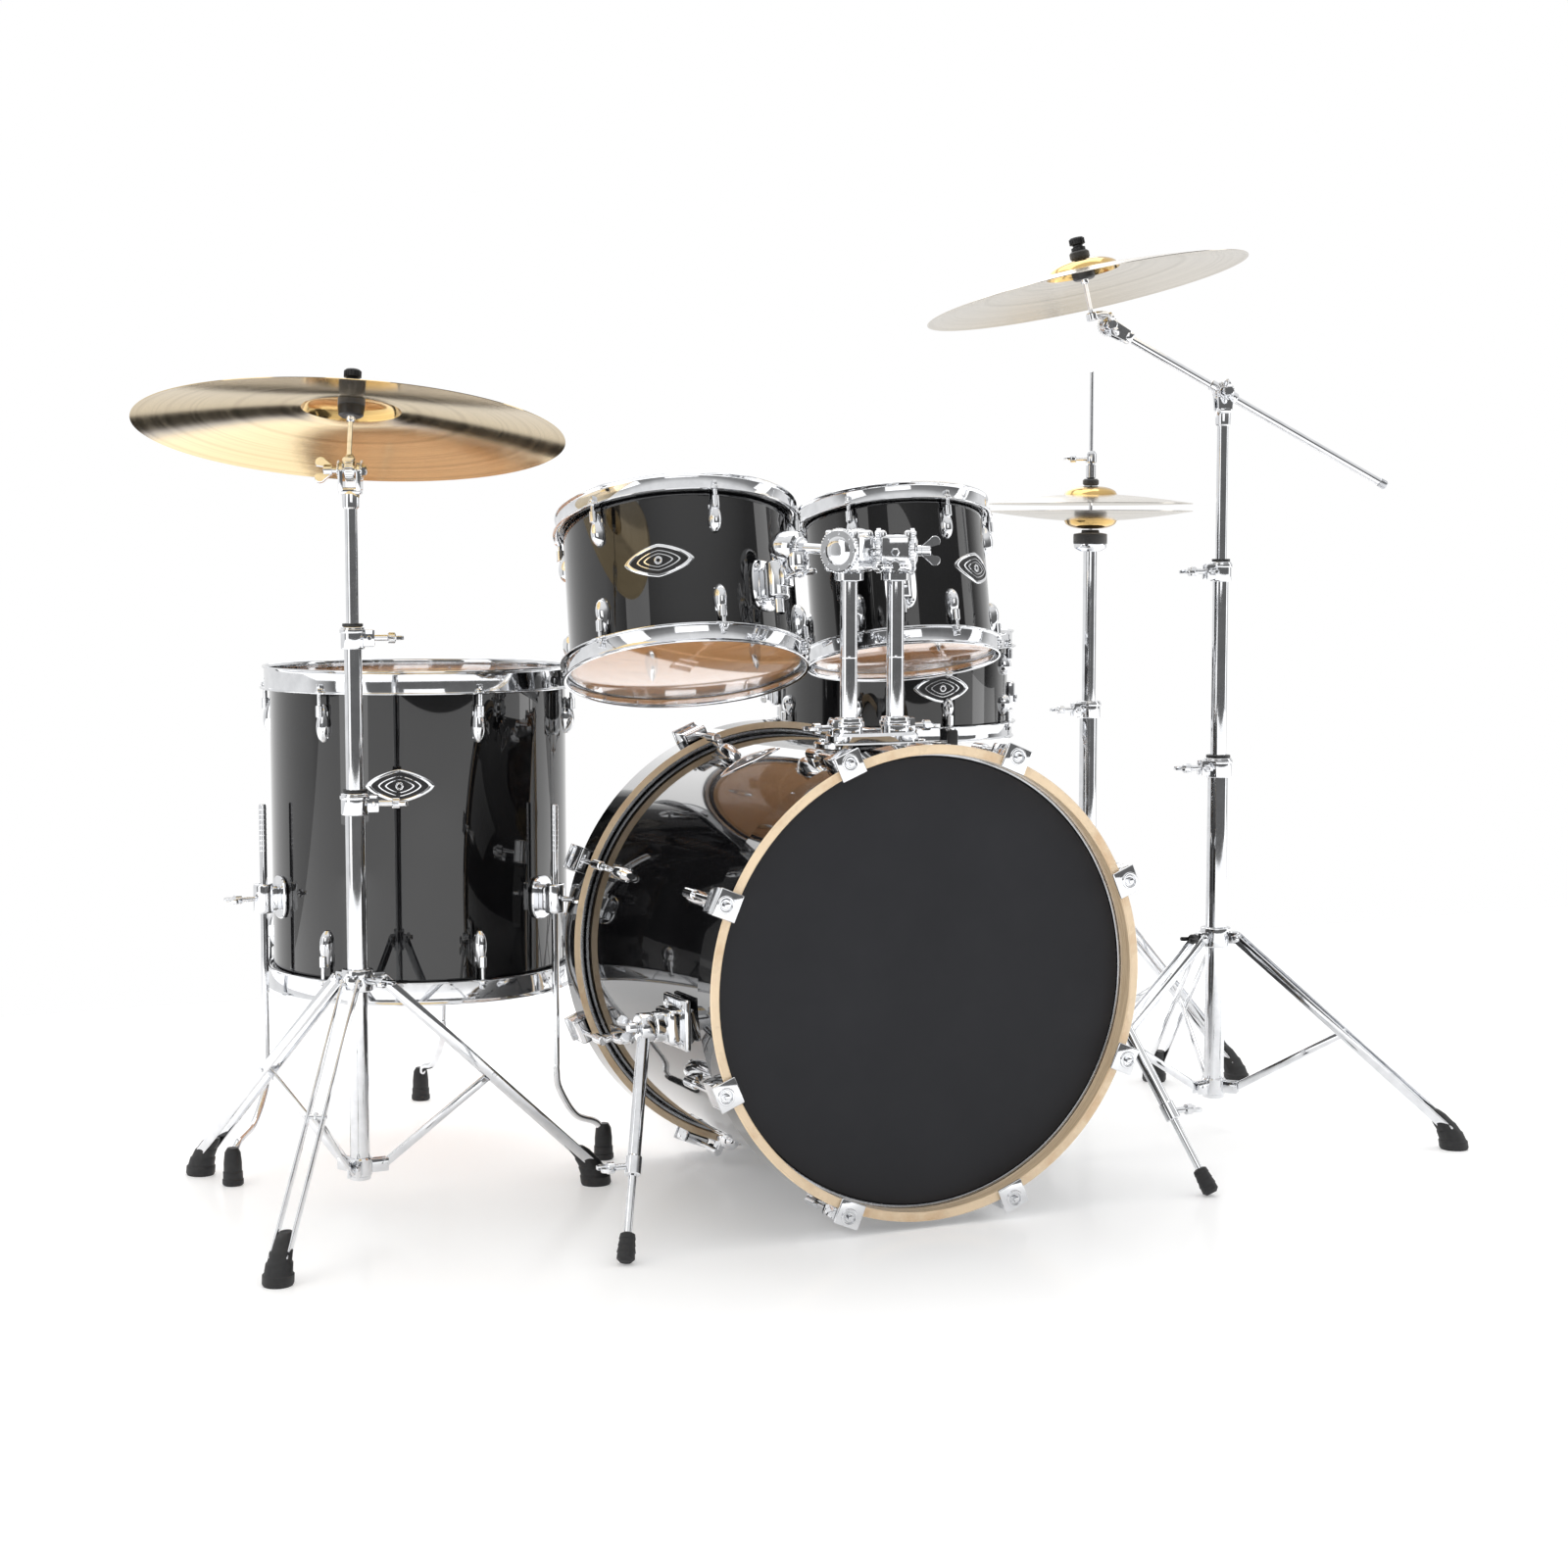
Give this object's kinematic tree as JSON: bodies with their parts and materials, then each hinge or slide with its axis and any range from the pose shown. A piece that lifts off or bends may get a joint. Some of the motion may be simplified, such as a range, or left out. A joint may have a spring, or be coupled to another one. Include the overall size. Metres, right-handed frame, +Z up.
{
  "type": "acoustic drum kit",
  "caption": "Acoustic drum kit with bass drum and pedal, mounted toms, floor tom, snare on a stand, hi-hat, ride cymbal and boom-mounted crash cymbal.",
  "frame": {"origin": "on the floor, under the centre of the kit's bounding box", "axes": "+Z up; -Y towards the audience, so the drummer sits on the +Y side; +X towards the hi-hat side, along the kit's longest extent"},
  "size_m": [1.8464, 1.2376, 1.2737],
  "materials": {
    "lacquer": "high-gloss black lacquer wrap",
    "maple": "clear-coated maple, black outside",
    "black_film": "satin black drumhead film",
    "clear_film": "clear or coated drumhead film",
    "chrome": "bright polished chrome plate",
    "ride_bronze": "lathed traditional bronze",
    "cymbal_bronze": "brilliant lathed bronze",
    "black_metal": "satin black",
    "rubber": "moulded matte black rubber",
    "felt": "pressed black felt",
    "shell_inside": "clear-coated maple ply"
  },
  "bodies": {
    "kit_base": {"bass_shell": "lacquer", "bass_front_hoop": "maple", "bass_batter_hoop": "maple", "bass_front_head": "black_film", "bass_batter_head": "clear_film", "kick_frame": "chrome", "floor_tom_shell": "lacquer", "floor_tom_top_hoop_and_head": "chrome", "floor_tom_bottom_hoop_and_head": "chrome", "snare_stand_base": "chrome", "hihat_stand_base": "chrome", "ride_stand_base": "chrome", "crash_stand_base": "chrome"},
    "left_spur": {"left_spur": "chrome"},
    "right_spur": {"right_spur": "chrome"},
    "kick_footboard": {"kick_footboard": "chrome"},
    "kick_beater": {"kick_beater": "black_metal"},
    "tom_1_post": {"tom_1_post": "chrome"},
    "tom_1_tilter": {"tom_1_tilter": "chrome"},
    "tom_1_arm": {"tom_1_arm": "chrome"},
    "tom_1_drum": {"tom_1_shell": "lacquer", "tom_1_top_hoop": "chrome", "tom_1_top_head": "clear_film", "tom_1_bottom_hoop_and_head": "chrome"},
    "tom_2_post": {"tom_2_post": "chrome"},
    "tom_2_tilter": {"tom_2_tilter": "chrome"},
    "tom_2_arm": {"tom_2_arm": "chrome"},
    "tom_2_drum": {"tom_2_shell": "lacquer", "tom_2_top_hoop": "chrome", "tom_2_top_head": "clear_film", "tom_2_bottom_hoop_and_head": "chrome"},
    "floor_tom_leg_1": {"floor_tom_leg_1": "chrome"},
    "floor_tom_leg_2": {"floor_tom_leg_2": "chrome"},
    "floor_tom_leg_3": {"floor_tom_leg_3": "chrome"},
    "snare_drum": {"snare_basket": "chrome", "snare_shell": "lacquer", "snare_top_hoop_and_head": "chrome", "snare_bottom_hoop_and_head": "chrome"},
    "snare_strainer_lever": {"snare_strainer_lever": "chrome"},
    "hihat_footboard": {"hihat_footboard": "chrome"},
    "hihat_upper_tube": {"hihat_upper_tube": "chrome", "hihat_bottom_cymbal": "cymbal_bronze"},
    "hihat_rod": {"hihat_rod": "chrome", "hihat_top_cymbal": "cymbal_bronze"},
    "ride_middle_tube": {"ride_middle_tube": "chrome"},
    "ride_top_tube": {"ride_top_tube": "chrome"},
    "ride_tilter": {"ride_tilter": "chrome"},
    "ride_cymbal": {"ride_cymbal": "ride_bronze"},
    "crash_middle_tube": {"crash_middle_tube": "chrome"},
    "crash_top_tube": {"crash_top_tube": "chrome"},
    "crash_boom": {"crash_boom": "chrome"},
    "crash_tilter": {"crash_tilter": "chrome"},
    "crash_cymbal": {"crash_cymbal": "cymbal_bronze"},
    "crash_leg_collar": {"crash_leg_collar": "chrome"},
    "crash_leg_1": {"crash_leg_1": "chrome"},
    "crash_brace_1": {"crash_brace_1": "chrome"},
    "crash_leg_2": {"crash_leg_2": "chrome"},
    "crash_brace_2": {"crash_brace_2": "chrome"},
    "crash_leg_3": {"crash_leg_3": "chrome"},
    "crash_brace_3": {"crash_brace_3": "chrome"}
  },
  "joints": [
    {"name": "left_spur_fold", "type": "hinge", "parent": "kit_base", "child": "left_spur", "pos_m": [-0.37276, -0.47019, 0.255], "axis": [1, 0, 0], "range_deg": [-90, 40]},
    {"name": "right_spur_fold", "type": "hinge", "parent": "kit_base", "child": "right_spur", "pos_m": [0.28524, -0.47019, 0.255], "axis": [1, 0, 0], "range_deg": [-90, 40]},
    {"name": "kick_footboard_hinge", "type": "hinge", "parent": "kit_base", "child": "kick_footboard", "pos_m": [-0.04376, 0.19981, 0.022], "axis": [1, 0, 0], "range_deg": [0, 14], "stiffness_Nm_per_rad": 2, "springref_deg": -28.65},
    {"name": "kick_beater_swing", "type": "hinge", "parent": "kit_base", "child": "kick_beater", "pos_m": [-0.04376, -0.06019, 0.18], "axis": [1, 0, 0], "range_deg": [0, 48.5]},
    {"name": "tom_1_height", "type": "slide", "parent": "kit_base", "child": "tom_1_post", "axis": [0, 0, 1], "range_m": [0, 0.05]},
    {"name": "tom_1_swivel", "type": "hinge", "parent": "tom_1_post", "child": "tom_1_tilter", "pos_m": [-0.07676, -0.43019, 0.832], "axis": [0, 0, 1], "range_deg": [-6, 12]},
    {"name": "tom_1_tilt", "type": "hinge", "parent": "tom_1_tilter", "child": "tom_1_arm", "pos_m": [-0.07676, -0.43019, 0.836], "axis": [0.8603, 0.5098, 0], "range_deg": [0, 10]},
    {"name": "tom_1_arm_slide", "type": "slide", "parent": "tom_1_arm", "child": "tom_1_drum", "axis": [0.062, 0.3141, 0.9474], "range_m": [-0.015, 0.012]},
    {"name": "tom_2_height", "type": "slide", "parent": "kit_base", "child": "tom_2_post", "axis": [0, 0, 1], "range_m": [-0.03, 0.05]},
    {"name": "tom_2_swivel", "type": "hinge", "parent": "tom_2_post", "child": "tom_2_tilter", "pos_m": [-0.01076, -0.43019, 0.832], "axis": [0, 0, 1], "range_deg": [-12, 6]},
    {"name": "tom_2_tilt", "type": "hinge", "parent": "tom_2_tilter", "child": "tom_2_arm", "pos_m": [-0.01076, -0.43019, 0.836], "axis": [0.8874, -0.4611, 0], "range_deg": [-6, 10]},
    {"name": "tom_2_arm_slide", "type": "slide", "parent": "tom_2_arm", "child": "tom_2_drum", "axis": [0.034, 0.2419, 0.9697], "range_m": [-0.015, 0.012]},
    {"name": "floor_tom_leg_1_slide", "type": "slide", "parent": "kit_base", "child": "floor_tom_leg_1", "axis": [0, 0, 1], "range_m": [-0.08, 0]},
    {"name": "floor_tom_leg_2_slide", "type": "slide", "parent": "kit_base", "child": "floor_tom_leg_2", "axis": [0, 0, 1], "range_m": [-0.08, 0]},
    {"name": "floor_tom_leg_3_slide", "type": "slide", "parent": "kit_base", "child": "floor_tom_leg_3", "axis": [0, 0, 1], "range_m": [-0.08, 0]},
    {"name": "snare_height", "type": "slide", "parent": "kit_base", "child": "snare_drum", "axis": [0, 0, 1], "range_m": [-0.06, 0.05]},
    {"name": "snare_strainer", "type": "hinge", "parent": "snare_drum", "child": "snare_strainer_lever", "pos_m": [0.1443, 0.33186, 0.602], "axis": [-0.3811, -0.9245, 0], "range_deg": [0, 80]},
    {"name": "hihat_footboard_hinge", "type": "hinge", "parent": "kit_base", "child": "hihat_footboard", "pos_m": [0.60398, 0.59305, 0.024], "axis": [0.9367, 0.3502, 0], "range_deg": [0, 1.7], "stiffness_Nm_per_rad": 60, "springref_deg": -8.59},
    {"name": "hihat_height", "type": "slide", "parent": "kit_base", "child": "hihat_upper_tube", "axis": [0, 0, 1], "range_m": [-0.06, 0]},
    {"name": "hihat_rod_pull", "type": "slide", "parent": "hihat_upper_tube", "child": "hihat_rod", "axis": [0, 0, -1], "range_m": [0, 0.00665]},
    {"name": "ride_middle_slide", "type": "slide", "parent": "kit_base", "child": "ride_middle_tube", "axis": [0, 0, 1], "range_m": [-0.05, 0.1]},
    {"name": "ride_top_slide", "type": "slide", "parent": "ride_middle_tube", "child": "ride_top_tube", "axis": [0, 0, 1], "range_m": [-0.05, 0.1]},
    {"name": "ride_tilt", "type": "hinge", "parent": "ride_top_tube", "child": "ride_tilter", "pos_m": [-0.66376, -0.22319, 0.936], "axis": [0.9063, -0.4226, 0], "range_deg": [-20, 20]},
    {"name": "ride_cymbal_swing", "type": "hinge", "parent": "ride_tilter", "child": "ride_cymbal", "pos_m": [-0.65683, -0.20916, 1.02805], "axis": [0.9945, -0.018, -0.1034], "range_deg": [-2.5, 2.5], "stiffness_Nm_per_rad": 12},
    {"name": "crash_middle_slide", "type": "slide", "parent": "kit_base", "child": "crash_middle_tube", "axis": [0, 0, 1], "range_m": [-0.05, 0.1]},
    {"name": "crash_top_slide", "type": "slide", "parent": "crash_middle_tube", "child": "crash_top_tube", "axis": [0, 0, 1], "range_m": [-0.05, 0.1]},
    {"name": "crash_boom_tilt", "type": "hinge", "parent": "crash_top_tube", "child": "crash_boom", "pos_m": [0.59624, -0.25619, 1.059], "axis": [0.3207, 0.9472, 0], "range_deg": [-15, 20]},
    {"name": "crash_tilt", "type": "hinge", "parent": "crash_boom", "child": "crash_tilter", "pos_m": [0.43824, -0.20119, 1.15], "axis": [0.3207, 0.9472, 0], "range_deg": [-20, 20]},
    {"name": "crash_cymbal_swing", "type": "hinge", "parent": "crash_tilter", "child": "crash_cymbal", "pos_m": [0.40123, -0.18756, 1.24005], "axis": [0.9866, 0.0216, 0.1615], "range_deg": [-2.5, 2.5], "stiffness_Nm_per_rad": 12},
    {"name": "crash_collar_slide", "type": "slide", "parent": "kit_base", "child": "crash_leg_collar", "axis": [0, 0, 1], "range_m": [0, 0.16]},
    {"name": "crash_leg_1_fold", "type": "hinge", "parent": "crash_leg_collar", "child": "crash_leg_1", "pos_m": [0.61765, -0.27997, 0.28], "axis": [0.7431, 0.6691, 0], "range_deg": [0, 41]},
    {"name": "crash_brace_1_fold", "type": "hinge", "parent": "kit_base", "child": "crash_brace_1", "pos_m": [0.61765, -0.27997, 0.062], "axis": [0.7431, 0.6691, 0], "range_deg": [-51, 0]},
    {"name": "crash_leg_2_fold", "type": "hinge", "parent": "crash_leg_collar", "child": "crash_leg_2", "pos_m": [0.60613, -0.22576, 0.28], "axis": [-0.9511, 0.309, 0], "range_deg": [0, 41]},
    {"name": "crash_brace_2_fold", "type": "hinge", "parent": "kit_base", "child": "crash_brace_2", "pos_m": [0.60613, -0.22576, 0.062], "axis": [-0.9511, 0.309, 0], "range_deg": [-51, 0]},
    {"name": "crash_leg_3_fold", "type": "hinge", "parent": "crash_leg_collar", "child": "crash_leg_3", "pos_m": [0.56494, -0.26285, 0.28], "axis": [0.2079, -0.9781, 0], "range_deg": [0, 41]},
    {"name": "crash_brace_3_fold", "type": "hinge", "parent": "kit_base", "child": "crash_brace_3", "pos_m": [0.56494, -0.26285, 0.062], "axis": [0.2079, -0.9781, 0], "range_deg": [-51, 0]}
  ],
  "couplings": [
    {"joint": "kick_beater_swing", "follows": "kick_footboard_hinge", "ratio": 3.46},
    {"joint": "hihat_rod_pull", "follows": "hihat_footboard_hinge", "m_per_rad": 0.224},
    {"joint": "crash_leg_1_fold", "follows": "crash_collar_slide", "rad_per_m": 4.4615},
    {"joint": "crash_brace_1_fold", "follows": "crash_collar_slide", "rad_per_m": -5.5523},
    {"joint": "crash_leg_2_fold", "follows": "crash_collar_slide", "rad_per_m": 4.4615},
    {"joint": "crash_brace_2_fold", "follows": "crash_collar_slide", "rad_per_m": -5.5523},
    {"joint": "crash_leg_3_fold", "follows": "crash_collar_slide", "rad_per_m": 4.4615},
    {"joint": "crash_brace_3_fold", "follows": "crash_collar_slide", "rad_per_m": -5.5523}
  ]
}
